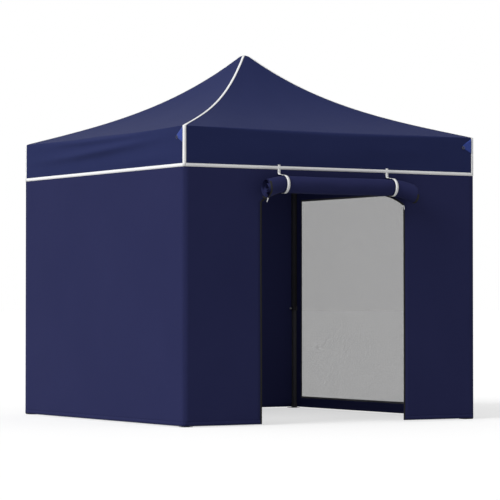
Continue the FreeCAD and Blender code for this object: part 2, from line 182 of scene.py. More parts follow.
# %% The navy cloth
CLOTH_ROUGHNESS = 0.70
CLOTH_THREADS = 900.0
CLOTH_SPECULAR = 0.035
FLECK_SHARE = 0.18


def navy_cloth(name, dark, light, crease):
    """Coated polyester: tone that drifts over the cloth, handling creases, and a fine plain weave."""
    material, shader, add = new_material(name, CLOTH_ROUGHNESS)
    uv = add("ShaderNodeUVMap", uv_map="cloth").outputs["UV"]
    drift = add("ShaderNodeTexNoise", {"Vector": uv, "Scale": 1.1, "Detail": 3.0, "Roughness": 0.55})
    fleck = add("ShaderNodeTexNoise", {"Vector": uv, "Scale": 420.0, "Detail": 1.0})
    slow = add("ShaderNodeMath", {0: drift.outputs["Fac"], 1: 1 - FLECK_SHARE}, operation="MULTIPLY").outputs[0]
    mixed = add("ShaderNodeMath", {0: fleck.outputs["Fac"], 1: FLECK_SHARE, 2: slow}, operation="MULTIPLY_ADD")
    colour = tone(add, mixed.outputs[0], dark, light)
    creases = add("ShaderNodeTexNoise", {"Vector": uv, "Scale": 5.5, "Detail": 4.0, "Distortion": 1.1})
    soft = add("ShaderNodeBump", {"Height": creases.outputs["Fac"], "Strength": crease, "Distance": 0.012})
    weave = crossed_waves(add, uv, CLOTH_THREADS, 0.4, "ADD")
    fine = add("ShaderNodeBump", {"Height": weave, "Strength": 0.25, "Distance": 0.0003, "Normal": soft.outputs[0]})
    dress(shader, {"Base Color": colour, "Normal": fine.outputs[0]})
    shader.inputs["Specular IOR Level"].default_value = CLOTH_SPECULAR
    return material


roof_cloth = navy_cloth("roof_cloth", (0.016, 0.022, 0.080), (0.023, 0.030, 0.100), 0.15)
wall_cloth = navy_cloth("wall_cloth", (0.018, 0.021, 0.072), (0.025, 0.028, 0.090), 0.18)
print("cloth finishes:", roof_cloth.name, wall_cloth.name)

# %% [markdown]
# White binding tape is woven in a tight rib across its width. Its UV map runs along the tape in metres, so a
# wave along one axis makes the ribs. The same idea, coarser, makes webbing; a fine black rib makes zip tape.

# %% Tapes, webbing and patches
RIB_SHARE = 0.35


def ribbed(name, dark, light, ribs, roughness, depth):
    """A ribbed woven tape: ribs to the metre along the tape, and slight soiling."""
    material, shader, add = new_material(name, roughness)
    uv = add("ShaderNodeUVMap", uv_map="cloth").outputs["UV"]
    rib = add("ShaderNodeTexWave", {"Vector": uv, "Scale": ribs * WAVE_UNIT, "Distortion": 0.6}, bands_direction="X")
    soil = add("ShaderNodeTexNoise", {"Vector": uv, "Scale": 9.0, "Detail": 4.0})
    ribs_part = add("ShaderNodeMath", {0: rib.outputs["Fac"], 1: RIB_SHARE}, operation="MULTIPLY").outputs[0]
    blend = add(
        "ShaderNodeMath", {0: soil.outputs["Fac"], 1: 1 - RIB_SHARE, 2: ribs_part}, operation="MULTIPLY_ADD"
    )
    colour = tone(add, blend.outputs[0], dark, light)
    bump = add("ShaderNodeBump", {"Height": rib.outputs["Fac"], "Strength": 0.4, "Distance": depth})
    dress(shader, {"Base Color": colour, "Normal": bump.outputs[0]})
    shader.inputs["Specular IOR Level"].default_value = 0.15
    return material


white_tape = ribbed("white_tape", (0.90, 0.90, 0.91), (0.96, 0.96, 0.96), 700.0, 0.6, 0.0003)
webbing = ribbed("webbing", (0.86, 0.86, 0.87), (0.95, 0.95, 0.95), 420.0, 0.7, 0.0006)
zip_tape = ribbed("zip_tape", (0.010, 0.010, 0.010), (0.020, 0.020, 0.018), 900.0, 0.65, 0.0003)
blue_patch = ribbed("corner_patch", (0.028, 0.052, 0.25), (0.038, 0.068, 0.31), 800.0, 0.55, 0.0003)
thread_white = ribbed("white_thread", (0.70, 0.70, 0.70), (0.85, 0.85, 0.85), 3000.0, 0.6, 0.0001)
thread_navy = ribbed("navy_thread", (0.030, 0.034, 0.085), (0.045, 0.050, 0.120), 3000.0, 0.6, 0.0001)
print("ribbed finishes:", [m.name for m in (white_tape, webbing, zip_tape, blue_patch, thread_white, thread_navy)])

# %% [markdown]
# The window is a knitted insect mesh. Its holes are about a millimetre wide: far too many to model, so the
# yarn and the holes are one alpha pattern on the UV map. A slow wave in the yarn's thickness gives the faint
# bands that a real mesh shows when it isn't pulled perfectly straight.

# %% The insect mesh
BAND_DEPTH = 0.032  # how much of the cover the faint bands add


def insect_mesh(name, pitch, open_share):
    """Black yarn with see-through holes: pitch is the distance between yarns."""
    material, shader, add = new_material(name, 0.7)
    uv = add("ShaderNodeUVMap", uv_map="cloth").outputs["UV"]
    yarn = crossed_waves(add, uv, 1 / pitch, 0.15, "MAXIMUM")
    upright = {"Vector": uv, "Scale": 26 * WAVE_UNIT, "Distortion": 2.5, "Detail": 0.5, "Detail Scale": 0.4}
    level = {"Vector": uv, "Scale": 45 * WAVE_UNIT, "Distortion": 0.8}
    slow = add("ShaderNodeTexWave", upright).outputs["Fac"]
    cross = add("ShaderNodeTexWave", level, bands_direction="Y").outputs["Fac"]
    bands = add("ShaderNodeMath", {0: cross, 1: 0.6, 2: slow}, operation="MULTIPLY_ADD").outputs[0]
    thick = {"Value": yarn, "From Min": 0.45, "From Max": 0.75, "To Min": 0.0, "To Max": 0.35}
    wide = add("ShaderNodeMapRange", thick).outputs[0]
    cover = add("ShaderNodeMath", {0: bands, 1: BAND_DEPTH, 2: wide}, operation="MULTIPLY_ADD").outputs[0]
    alpha = add("ShaderNodeMath", {0: cover, 1: 1 - open_share}, operation="ADD", use_clamp=True).outputs[0]
    dress(shader, {"Base Color": tone(add, yarn, (0.055, 0.056, 0.058), (0.10, 0.10, 0.105)), "Alpha": alpha})
    return material


window_mesh = insect_mesh("window_mesh", 0.0013, 0.59)
print("mesh finish:", window_mesh.name)

# %% [markdown]
# ## Hard finishes
#
# The steel is powder coated: nearly black, slightly satin, with the fine orange peel of the coating and a
# little bare metal where edges rub. The nylon brackets have a moulded grain instead. These parts have no UV
# map, so their patterns use Object coordinates.

# %% Coated steel, moulded nylon and plated metal
def hard_finish(name, dark, light, roughness, grain, depth, wear=None, metallic=0.0):
    """A paint, plastic or plating with a grain, and worn edges where wear gives their colour."""
    material, shader, add = new_material(name, roughness, metallic)
    place = add("ShaderNodeTexCoord").outputs["Object"]
    cloudy = add("ShaderNodeTexNoise", {"Vector": place, "Scale": 14.0, "Detail": 5.0})
    colour = tone(add, cloudy.outputs["Fac"], dark, light)
    if wear:
        edges = add("ShaderNodeNewGeometry").outputs["Pointiness"]
        rub = add("ShaderNodeMapRange", {"Value": edges, "From Min": 0.53, "From Max": 0.60, "To Max": 0.5})
        worn = add("ShaderNodeMix", {"Factor": rub.outputs[0]}, data_type="RGBA")
        shader.id_data.links.new(colour, worn.inputs[6])
        worn.inputs[7].default_value = (*wear, 1)
        colour = worn.outputs[2]
    peel = add("ShaderNodeTexNoise", {"Vector": place, "Scale": grain, "Detail": 2.0})
    bump = add("ShaderNodeBump", {"Height": peel.outputs["Fac"], "Strength": 0.3, "Distance": depth})
    dress(shader, {"Base Color": colour, "Normal": bump.outputs[0]})
    return material


WORN = (0.09, 0.09, 0.10)
steel = hard_finish("frame_steel", (0.010, 0.010, 0.011), (0.020, 0.020, 0.022), 0.38, 600.0, 0.0002, WORN)
nylon = hard_finish("bracket_plastic", (0.012, 0.012, 0.013), (0.022, 0.022, 0.024), 0.55, 1500.0, 0.0002)
knob = hard_finish("lock_pin", (0.25, 0.26, 0.28), (0.34, 0.35, 0.37), 0.45, 1200.0, 0.0001)
plated = hard_finish("zip_puller", (0.42, 0.42, 0.44), (0.56, 0.56, 0.58), 0.30, 900.0, 0.00005, None, 1.0)
eyelet_finish = hard_finish("eyelet", (0.05, 0.05, 0.055), (0.10, 0.10, 0.11), 0.4, 900.0, 0.00005, None, 0.6)

# %% Finish the frame's own parts
FINISHES = {"frame_steel": steel, "leg_steel": steel, "bracket_plastic": nylon, "lock_pin": knob}
for part in frame["record"]["subparts"]:
    finish = FINISHES.get(part["material_slot"])
    if finish:
        mesh = frame["nodes"][part["node"]].data
        mesh.materials.clear()
        mesh.materials.append(finish)

# %% [markdown]
# ## Sheets of cloth
#
# A sheet is a grid of points. One function gives, for each column and row, the point and where it was on the
# flat cloth, which becomes the UV map. The gazebo has four like sides, so every place on it is given as a
# side, a distance along it, a distance out from the middle, and a height.

# %% Points on a side
def on_side(side, along, out, height):
    """A point of a side: along runs left to right for someone who stands outside and looks at it."""
    x, y = along, -out
    for _ in range(side):
        x, y = -y, x
    return (x, y, height)


def spread(start, end, count):
    """Even steps from start to end, both included."""
    return [start + (end - start) * k / count for k in range(count + 1)]


# %% A grid builder
def sheet_object(name, corners, columns, rows, finish, ring=False, keep=None):
    """A grid mesh. corners(i, j) gives (point, flat place); a ring joins its last column to its first."""
    wide = columns if ring else columns + 1
    made = {}
    points = []
    for j in range(rows + 1):
        for i in range(columns + 1):
            point, flat = corners(i, j)
            made[i, j] = (j * wide + i % wide, flat)
            if i < wide:
                points.append(point)
    faces, flats = [], []
    for j in range(rows):
        for i in range(columns):
            if keep and not keep(i, j):
                continue
            quad = [made[i, j], made[i + 1, j], made[i + 1, j + 1], made[i, j + 1]]
            faces.append([q[0] for q in quad])
            flats += [q[1] for q in quad]
    mesh = bpy.data.meshes.new(name)
    mesh.from_pydata(points, [], faces)
    uv = mesh.uv_layers.new(name="cloth")
    uv.data.foreach_set("uv", [c for flat in flats for c in flat])
    mesh.materials.append(finish)
    tidy = bmesh.new()
    tidy.from_mesh(mesh)
    loose = [v for v in tidy.verts if not v.link_faces]
    bmesh.ops.delete(tidy, geom=loose, context="VERTS")
    tidy.to_mesh(mesh)
    tidy.free()
    mesh.shade_smooth()
    piece = bpy.data.objects.new(name, mesh)
    bpy.context.scene.collection.objects.link(piece)
    return piece


def thicken(piece, thickness, offset=-1.0):
    """Gives a sheet its thickness."""
    solid = piece.modifiers.new("thickness", "SOLIDIFY")
    solid.thickness = thickness
    solid.offset = offset
    return piece


# %% [markdown]
# When the frame folds, its four legs come together and the cloth between them gathers in pleats. A Hook
# modifier for each leg does this: it moves each point with the leg, as far as the point's weight says. The
# weights share a point between the legs by its distance from each, and a wave along each side makes the
# ridges of the pleats lag behind, so that they stand out from the folded frame.

# %% Gathering the cloth as the frame folds
PLEATS = 9
PLEAT_LAG = 0.075
MAST_CLEARANCE = 0.036  # cloth this near the mast stays with it


def gathered_share(place):
    """How far out a place is, from the mast's clearance to the legs: -1 to 1."""
    out = max(0.0, abs(place) - MAST_CLEARANCE) / (LEG_PLACE - MAST_CLEARANCE)
    return math.copysign(out, place)


def leg_share(point, leg):
    """How far a point goes with a leg, from 0 to 1."""
    sign_x = 1 if "right" in leg else -1
    sign_y = 1 if "back" in leg else -1
    share_x = (1 + sign_x * gathered_share(point.x)) / 2
    share_y = (1 + sign_y * gathered_share(point.y)) / 2
    reach = max(abs(point.x), abs(point.y), 1e-6)
    along = min(abs(point.x), abs(point.y)) / reach
    ridge = 0.5 - 0.5 * math.cos(PLEATS * math.pi * (1 - along))
    lag = 1 - PLEAT_LAG * ridge * min(1.0, reach / HALF)
    return max(0.0, min(1.0, share_x)) * max(0.0, min(1.0, share_y)) * lag


def gather(piece):
    """Hooks a piece of cloth to the four legs, before any modifier that it already has."""
    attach(piece, "root")
    for leg in LEGS:
        group = piece.vertex_groups.new(name=leg)
        for vertex in piece.data.vertices:
            group.add([vertex.index], leg_share(vertex.co, leg), "REPLACE")
    for place, leg in enumerate(LEGS):
        hook = piece.modifiers.new("gather_" + leg, "HOOK")
        hook.object = frame["bodies"]["outer_leg_" + leg]
        hook.vertex_group = leg
        hook.falloff_type = "NONE"
        hook.center = (0, 0, 0)
        hook.matrix_inverse = Matrix.Identity(4)
        piece.modifiers.move(len(piece.modifiers) - 1, place)
    return piece


# %% [markdown]
# ## The canopy
#
# The roof is one tented sheet. Cut across, its slope is gentle at the eaves and steepens to the peak, because
# the cloth is pulled up by the mast and down by the legs. At the eaves it rolls over softly into the valance,
# and is sharp only at the legs. The valance hangs from there with a few long shallow folds.

# %% The roof's slope and the valance's folds
ROOF_STRAIGHT_SHARE = 0.58
ROOF_CURVE_POWER = 3.2
PEAK_ROUND = 0.034
PEAK_TIP = 0.011
PANEL_SAG = 0.008
EAVE_SOFTNESS = 0.032


def roof_height(reach):
    """The roof's height at a distance out from the mast, at a hip."""
    s = min(1.0, (HALF - reach) / (HALF - PEAK_ROUND))
    tip = PEAK_TIP * max(0.0, 1 - reach / PEAK_ROUND)
    return EAVE + (ROOF_STRAIGHT_SHARE * s + (1 - ROOF_STRAIGHT_SHARE) * s**ROOF_CURVE_POWER) * (PEAK - EAVE) + tip


def roof_point(side, u, reach):
    """A point of a roof panel: u is -1 at its left hip and +1 at its right hip."""
    slack = (1 - u * u) * math.sin(math.pi * min(1.0, reach / HALF) ** 1.4 * 0.93)
    ripple = noise.noise(Vector((u * 2.2, reach * 1.6, side * 7.3))) * 0.006 * (1 - u**4) * reach / HALF
    eave_sag = PANEL_SAG * (1 - u * u) * (reach / HALF) ** 6
    return on_side(side, u * reach, reach, roof_height(reach) - 0.014 * slack + ripple - eave_sag)


def swell(value, centre, width):
    """A smooth bump that is 1 at its centre."""
    return math.exp(-(((value - centre) / width) ** 2))


# for each fold: its place along the valance, its reach, the depths at which it starts and ends, its width, and
# how far it stands out
VALANCE_FOLDS = {
    "front": [(-0.3, 1.3, 0.20, 0.12, 0.07, 0.004), (0.9, 0.8, 0.14, 0.20, 0.06, 0.003)],
    "right": [(0.0, 1.2, 0.03, 0.03, 0.035, 0.010), (-0.3, 1.1, 0.10, 0.19, 0.045, 0.016)],
    "back": [(0.0, 1.2, 0.03, 0.03, 0.035, 0.010), (0.3, 1.1, 0.18, 0.09, 0.045, 0.018)],
    "left": [
        (0.0, 1.2, 0.025, 0.02, 0.030, 0.016),
        (-0.05, 1.15, 0.170, 0.080, 0.038, 0.032),
        (0.8, 0.7, 0.27, 0.22, 0.05, 0.008),
    ],
}


def valance_swell(side, along, depth):
    """How far the valance stands out at a distance along its side and below the eave."""
    total = 0.0
    for centre, reach, start, end, width, height in VALANCE_FOLDS[SIDES[side]]:
        share = max(0.0, min(1.0, (along - centre + reach) / (2 * reach)))
        line = start + (end - start) * share**1.7
        total += height * swell(depth, line, width) * swell(along, centre, reach * 0.75)
    fine = noise.noise(Vector((along * 1.7, depth * 7.0, 3.1 + side * 5.7)))
    total += 0.0022 * (1 + fine)
    hang = EAVE - HEM
    hold = min(1.0, 8 * depth / hang) * min(1.0, 5 * (hang - depth) / hang)
    ends = 1 - (abs(along) / HALF) ** 8
    return total * hold * ends


# %% The canopy's grid
SIDE_COLUMNS = 84
ROOF_ROWS = 36
EAVE_ROWS = 8
VALANCE_ROWS = 22
PEAK_HOLE = 0.004  # the grid stops short of the mast's line, and one face closes it


def eave_softness(u):
    """How far from the eave's line the roof starts to roll over: hardly at all at the legs."""
    return 0.0015 + EAVE_SOFTNESS * max(0.0, 1 - u * u) ** 1.5


def side_and_share(column):
    """The side that a column of the ring is on, and its place there from -1 to 1."""
    side, step = divmod(column, SIDE_COLUMNS)
    if side == 4:
        side, step = 3, SIDE_COLUMNS
    return side, 2 * step / SIDE_COLUMNS - 1


def valance_point(side, u, depth, lift=0.0):
    """A point of the valance at a depth below the eave, lifted off the cloth."""
    out = HALF + valance_swell(side, u * HALF, depth) + lift
    sag = PANEL_SAG * (1 - u * u) * max(0.0, 1 - depth / 0.12)
    return on_side(side, u * (HALF + lift), out, EAVE - depth - sag)


def canopy_corner(i, j):
    """Roof, then the curve over the eave, then the valance."""
    side, u = side_and_share(i)
    soft = eave_softness(u)
    along = HALF * (u + 2 * side)
    if j <= ROOF_ROWS:
        share = (j / ROOF_ROWS) ** 1.3
        reach = PEAK_HOLE + (HALF - soft - PEAK_HOLE) * share
        return roof_point(side, u, reach), (along, reach)
    if j <= ROOF_ROWS + EAVE_ROWS:
        t = (j - ROOF_ROWS) / EAVE_ROWS
        roof = Vector(roof_point(side, u, HALF - soft))
        edge = Vector(valance_point(side, u, 0.0))
        hang = Vector(valance_point(side, u, soft))
        point = roof * (1 - t) ** 2 + edge * 2 * t * (1 - t) + hang * t**2
        return tuple(point), (along, HALF + soft * (2 * t - 1))
    t = (j - ROOF_ROWS - EAVE_ROWS) / VALANCE_ROWS
    depth = soft + (EAVE - HEM - soft) * t
    return valance_point(side, u, depth), (along, HALF + depth)


# %% Build the canopy
CANOPY_ROWS = ROOF_ROWS + EAVE_ROWS + VALANCE_ROWS
canopy = sheet_object("canopy_cloth", canopy_corner, 4 * SIDE_COLUMNS, CANOPY_ROWS, roof_cloth, ring=True)
closer = bmesh.new()
closer.from_mesh(canopy.data)
rim = [e for e in closer.edges if e.is_boundary and e.verts[0].co.z > EAVE]
bmesh.ops.contextual_create(closer, geom=rim)
bmesh.ops.recalc_face_normals(closer, faces=closer.faces)
if sum(f.normal.z for f in closer.faces) < 0:
    bmesh.ops.reverse_faces(closer, faces=closer.faces)
closer.to_mesh(canopy.data)
closer.free()
canopy.data.shade_smooth()
thicken(canopy, CLOTH)
gather(canopy)
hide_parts("canopy")
print("canopy faces", len(canopy.data.polygons))

# %% [markdown]
# ## White binding
#
# Tape binds the hem, and covers the seams at the corners and up the hips. Each tape follows the cloth's own
# formula and is lifted by its thickness, so it lies on every fold that the cloth has.

# %% Bind the hem
def hem_corner(i, j):
    """The binding's section: down the outside, round the edge, and up the inside."""
    side, u = side_and_share(i)
    section = [(TAPE, HEM_BAND), (TAPE, HEM_BAND / 2), (TAPE, -TAPE), (-CLOTH, -TAPE), (-CLOTH, HEM_BAND)]
    lift, height = section[j]
    depth = EAVE - HEM - height
    return valance_point(side, u, depth, lift), (HALF * (u + 2 * side), height)


def turn_outwards(piece, wanted):
    """Turns a sheet's faces so that their sum points the way that wanted gives."""
    mesh = bmesh.new()
    mesh.from_mesh(piece.data)
    bmesh.ops.recalc_face_normals(mesh, faces=mesh.faces)
    if sum(f.normal.dot(wanted(f.calc_center_median())) for f in mesh.faces) < 0:
        bmesh.ops.reverse_faces(mesh, faces=mesh.faces)
    mesh.to_mesh(piece.data)
    mesh.free()


def outwards(point):
    """Away from the middle, level."""
    return Vector((point.x, point.y, 0.0))


hem_band = sheet_object("hem_binding", hem_corner, 4 * SIDE_COLUMNS, 4, white_tape, ring=True)
thicken(hem_band, TAPE, 0.0)
gather(hem_band)
print("hem binding faces", len(hem_band.data.polygons))

# %% Cover the corners and the hips
HIP_STEPS = 48
CORNER_STEPS = 12
HIP_END = 0.006


def seam_half_width(step):
    """Half the tape's width at a step: it narrows as it turns from the corner on to the hip."""
    on_hip = min(1.0, max(0.0, (step - CORNER_STEPS) / 3))
    return CORNER_BAND + (HIP_BAND - CORNER_BAND) * on_hip


def seam_line(step):
    """(reach, height) up a corner from the hem to the eave, then up the hip to the peak."""
    if step <= CORNER_STEPS:
        return HALF, HEM + (EAVE - HEM) * step / CORNER_STEPS
    reach = HALF + (HIP_END - HALF) * (step - CORNER_STEPS) / HIP_STEPS
    return reach, roof_height(reach)


def seam_tape(side):
    """The tape over the seam at the right end of a side."""

    def corner(i, j):
        reach, height = seam_line(i)
        half = min(reach, seam_half_width(i))
        slope = 0.0 if i <= CORNER_STEPS else 1.0
        raised = height + 1.6 * TAPE * slope
        out = reach + 1.3 * TAPE * (1 - 0.4 * slope)
        across = half * (j - 2) / 2
        point = on_side(side, out + min(0.0, across), out - max(0.0, across), raised)
        return point, (i * 0.045, across)

    tape = sheet_object(f"seam_tape_{LEGS[(side + 1) % 4]}", corner, CORNER_STEPS + HIP_STEPS, 4, white_tape)
    turn_outwards(tape, lambda p: Vector((p.x, p.y, 1.0)))
    thicken(tape, TAPE, 0.0)
    gather(tape)
    return tape


seam_tapes = [seam_tape(side) for side in range(4)]
print("tapes", [t.name for t in seam_tapes])

# %% [markdown]
# ## Four walls
#
# The walls hang just inside the valance and nearly touch its hem. Each is a flat cut of cloth, so it stays
# almost flat: it only breathes out a few millimetres between the legs. The front wall has the doorway cut out
# of it, and its grid is arranged so that one row of points follows the doorway's rounded shoulders.

# %% The walls' shape
WALL_FREE = LEG_PLACE - 0.085  # past this a wall lies flat on its leg and foot
WALL_HELD = HEM - 0.17  # above this it lies flat under the valance
WALL_EDGE = WALL_OUT - 0.001


def wall_breath(side, along, height):
    """How far a wall stands out from its flat place, below the roll and between its legs."""
    slow = noise.noise(Vector((along * 0.9, height * 0.7, 11.0 + side * 4.1)))
    folds = noise.noise(Vector((along * 2.6, height * 1.1, 2.0 + side * 3.7)))
    edge = max(0.0, 1 - (abs(along) / WALL_FREE) ** 6)
    free = max(0.0, min(1.0, (WALL_HELD - height) / 0.5))
    return max(0.0, 0.004 + 0.006 * slow + 0.003 * folds) * edge * free


def wall_place(side, along, height, lift=0.0):
    """A point of a wall, lifted off its outer face."""
    return on_side(side, along, WALL_OUT + wall_breath(side, along, height) + lift, height)


DOOR_ROUND = (SHOULDER_REACH**2 + (DOOR_TOP - DOOR_SHOULDER) ** 2) / (2 * (DOOR_TOP - DOOR_SHOULDER))
DOOR_FLAT = DOOR_HALF - SHOULDER_REACH


def door_line(along):
    """The height of the doorway's top edge."""
    past = max(0.0, abs(along) - DOOR_FLAT)
    return DOOR_TOP - DOOR_ROUND + math.sqrt(max(0.0, DOOR_ROUND**2 - past**2))


print("doorway shoulder radius", round(DOOR_ROUND, 3), "flat half", round(DOOR_FLAT, 3))


# %% Hang the back and the left wall
WALL_COLUMNS = 60
WALL_ROWS = 46


def plain_wall(side):
    """An uncut wall."""

    def corner(i, j):
        along = WALL_EDGE * (2 * i / WALL_COLUMNS - 1)
        height = WALL_BOTTOM + (WALL_TOP - WALL_BOTTOM) * j / WALL_ROWS
        return wall_place(side, along, height), (along, height)

    wall = sheet_object(f"{SIDES[side]}_wall_cloth", corner, WALL_COLUMNS, WALL_ROWS, wall_cloth)
    turn_outwards(wall, outwards)
    thicken(wall, CLOTH)
    gather(wall)
    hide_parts("plain_walls")
    return wall


back_wall, left_wall = plain_wall(2), plain_wall(3)
print("plain walls", back_wall.name, left_wall.name)

# %% Hang the front wall round its doorway
JAMB_COLUMNS, LINTEL_COLUMNS = 16, 48
JAMB_ROWS, LINTEL_ROWS = 38, 10
front_places = (
    spread(-WALL_EDGE, -DOOR_HALF, JAMB_COLUMNS)
    + spread(-DOOR_HALF, DOOR_HALF, LINTEL_COLUMNS)[1:-1]
    + spread(DOOR_HALF, WALL_EDGE, JAMB_COLUMNS)
)


def front_corner(i, j):
    """Rows from the foot to the doorway's line, then from that line to the top."""
    along = front_places[i]
    line = door_line(min(abs(along), DOOR_HALF))
    if j <= JAMB_ROWS:
        height = WALL_BOTTOM + (line - WALL_BOTTOM) * j / JAMB_ROWS
    else:
        height = line + (WALL_TOP - line) * (j - JAMB_ROWS) / LINTEL_ROWS
    return wall_place(0, along, height), (along, height)


def outside_doorway(i, j):
    middle = (front_places[i] + front_places[i + 1]) / 2
    return abs(middle) > DOOR_HALF or j >= JAMB_ROWS


FRONT_ROWS = JAMB_ROWS + LINTEL_ROWS
front_wall = sheet_object(
    "front_wall_cloth", front_corner, len(front_places) - 1, FRONT_ROWS, wall_cloth, keep=outside_doorway
)
turn_outwards(front_wall, outwards)
thicken(front_wall, CLOTH)
gather(front_wall)
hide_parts("front_wall")
print("front wall faces", len(front_wall.data.polygons))

# %% [markdown]
# The right wall is a frame of cloth with an insect mesh sewn behind its opening. The mesh is its own sheet,
# wide enough to be caught by the frame's hem all round.

# %% Hang the window wall
WINDOW_HALF = WALL_OUT - WINDOW_MARGIN
BORDER_STEPS, WINDOW_COLUMNS, WINDOW_ROWS = 6, 48, 40
window_along = (
    spread(-WALL_EDGE, -WINDOW_HALF, BORDER_STEPS)
    + spread(-WINDOW_HALF, WINDOW_HALF, WINDOW_COLUMNS)[1:-1]
    + spread(WINDOW_HALF, WALL_EDGE, BORDER_STEPS)
)
window_heights = (
    spread(WALL_BOTTOM, WINDOW_BOTTOM, BORDER_STEPS)
    + spread(WINDOW_BOTTOM, WINDOW_TOP, WINDOW_ROWS)[1:-1]
    + spread(WINDOW_TOP, WALL_TOP, BORDER_STEPS)
)


def window_frame_corner(i, j):
    along, height = window_along[i], window_heights[j]
    return wall_place(1, along, height), (along, height)


def on_border(i, j):
    along = (window_along[i] + window_along[i + 1]) / 2
    height = (window_heights[j] + window_heights[j + 1]) / 2
    return abs(along) > WINDOW_HALF or not WINDOW_BOTTOM < height < WINDOW_TOP


right_wall = sheet_object(
    "right_wall_cloth",
    window_frame_corner,
    len(window_along) - 1,
    len(window_heights) - 1,
    wall_cloth,
    keep=on_border,
)
turn_outwards(right_wall, outwards)
thicken(right_wall, CLOTH)
gather(right_wall)
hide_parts("mesh_wall")

# %% Sew in the mesh
MESH_LAP = 0.018
MESH_BEHIND = 0.0018
MESH_COLUMNS, MESH_ROWS = 48, 36


def mesh_corner(i, j):
    along = (WINDOW_HALF + MESH_LAP) * (2 * i / MESH_COLUMNS - 1)
    low, high = WINDOW_BOTTOM - MESH_LAP, WINDOW_TOP + MESH_LAP
    height = low + (high - low) * j / MESH_ROWS
    return wall_place(1, along, height, -MESH_BEHIND), (along, height)


mesh_window = sheet_object("window_mesh_cloth", mesh_corner, MESH_COLUMNS, MESH_ROWS, window_mesh)
turn_outwards(mesh_window, outwards)
gather(mesh_window)
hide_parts("mesh_wall")
print("window", round(2 * WINDOW_HALF, 3), "by", round(WINDOW_TOP - WINDOW_BOTTOM, 3))

# %% [markdown]
# ## Ribbons
#
# Zip tape, ties and the walls' hems are all ribbons: a path, a direction across it, and a width. One helper
# builds them as a strip of quads with a UV map that runs along the path, and gives them a thickness.

# %% A ribbon along a path
def ribbon(name, path, across, thickness, finish, columns=2):
    """A strip centred on a path; across(k, share) gives its offset from -1 to 1 over its width."""
    run = [0.0]
    for a, b in zip(path, path[1:]):
        run.append(run[-1] + (Vector(b) - Vector(a)).length)

    def corner(i, j):
        share = 2 * j / columns - 1
        offset = Vector(across(i, share))
        return tuple(Vector(path[i]) + offset), (run[i], offset.length * (1 if share > 0 else -1))

    strip = sheet_object(name, corner, len(path) - 1, columns, finish)
    thicken(strip, thickness, 0.0)
    return strip


# %% Hem the walls
WALL_HEM = 0.035


def wall_hem(side, start, end, name):
    """The folded hem along the foot of a wall: a second layer on the outside."""
    path = [wall_place(side, along, WALL_BOTTOM + WALL_HEM / 2, 0.0007) for along in spread(start, end, 40)]
    strip = ribbon(name, path, lambda k, share: (0, 0, share * WALL_HEM / 2), 0.0009, wall_cloth)
    turn_outwards(strip, outwards)
    gather(strip)
    return strip


EDGE = WALL_OUT - 0.002
wall_hems = {
    "front_left": wall_hem(0, -EDGE, -DOOR_HALF, "front_hem_left"),
    "front_right": wall_hem(0, DOOR_HALF, EDGE, "front_hem_right"),
    "right": wall_hem(1, -EDGE, EDGE, "right_hem"),
    "back": wall_hem(2, -EDGE, EDGE, "back_hem"),
    "left": wall_hem(3, -EDGE, EDGE, "left_hem"),
}
print("wall hems", [hem.name for hem in wall_hems.values()])

# %% [markdown]
# ## The door zip
#
# A coil zip runs up each side of the doorway and over its shoulder. The tape is a ribbon along the doorway's
# edge. The coil is hundreds of tiny loops, all alike, which is a job for Geometry Nodes: they place one tooth
# on evenly spaced points of a path, and Realize Instances turns the result into real mesh.

# %% Geometry Nodes: one small shape repeated along a path
def repeat_along(name, path, shape, spacing, finish):
    """Places a small mesh at even distances along a path, turned to follow it."""
    holder = bpy.data.meshes.new(name + "_path")
    holder.from_pydata([tuple(p) for p in path], [(k, k + 1) for k in range(len(path) - 1)], [])
    piece = bpy.data.objects.new(name, holder)
    bpy.context.scene.collection.objects.link(piece)
    tree = bpy.data.node_groups.new(name + "_nodes", "GeometryNodeTree")
    face = tree.interface
    face.new_socket("Path", in_out="INPUT", socket_type="NodeSocketGeometry")
    shape_in = face.new_socket("Shape", in_out="INPUT", socket_type="NodeSocketObject")
    spacing_in = face.new_socket("Spacing", in_out="INPUT", socket_type="NodeSocketFloat")
    face.new_socket("Row", in_out="OUTPUT", socket_type="NodeSocketGeometry")
    add = node_maker(tree)
    given = add("NodeGroupInput").outputs
    curve = add("GeometryNodeMeshToCurve", {"Mesh": given["Path"]}).outputs[0]
    spots = add("GeometryNodeCurveToPoints", {"Curve": curve, "Length": given["Spacing"]}, mode="LENGTH").outputs
    one = add("GeometryNodeObjectInfo", {"Object": given["Shape"]}).outputs["Geometry"]
    many = add(
        "GeometryNodeInstanceOnPoints",
        {"Points": spots["Points"], "Instance": one, "Rotation": spots["Rotation"]},
    )
    real = add("GeometryNodeRealizeInstances", {"Geometry": many.outputs[0]})
    dressed = add("GeometryNodeSetMaterial", {"Geometry": real.outputs[0], "Material": finish})
    tree.links.new(dressed.outputs[0], add("NodeGroupOutput").inputs[0])
    maker = piece.modifiers.new("repeat", "NODES")
    maker.node_group = tree
    maker[shape_in.identifier] = shape
    maker[spacing_in.identifier] = spacing
    solid = bpy.data.meshes.new_from_object(piece.evaluated_get(bpy.context.evaluated_depsgraph_get()))
    piece.modifiers.remove(maker)
    piece.data = solid
    solid.name = name
    return piece


# %% The two small shapes: a stitch and a zip tooth
SEED_END = 0.6  # the ends' thickness, as a share of the middle's


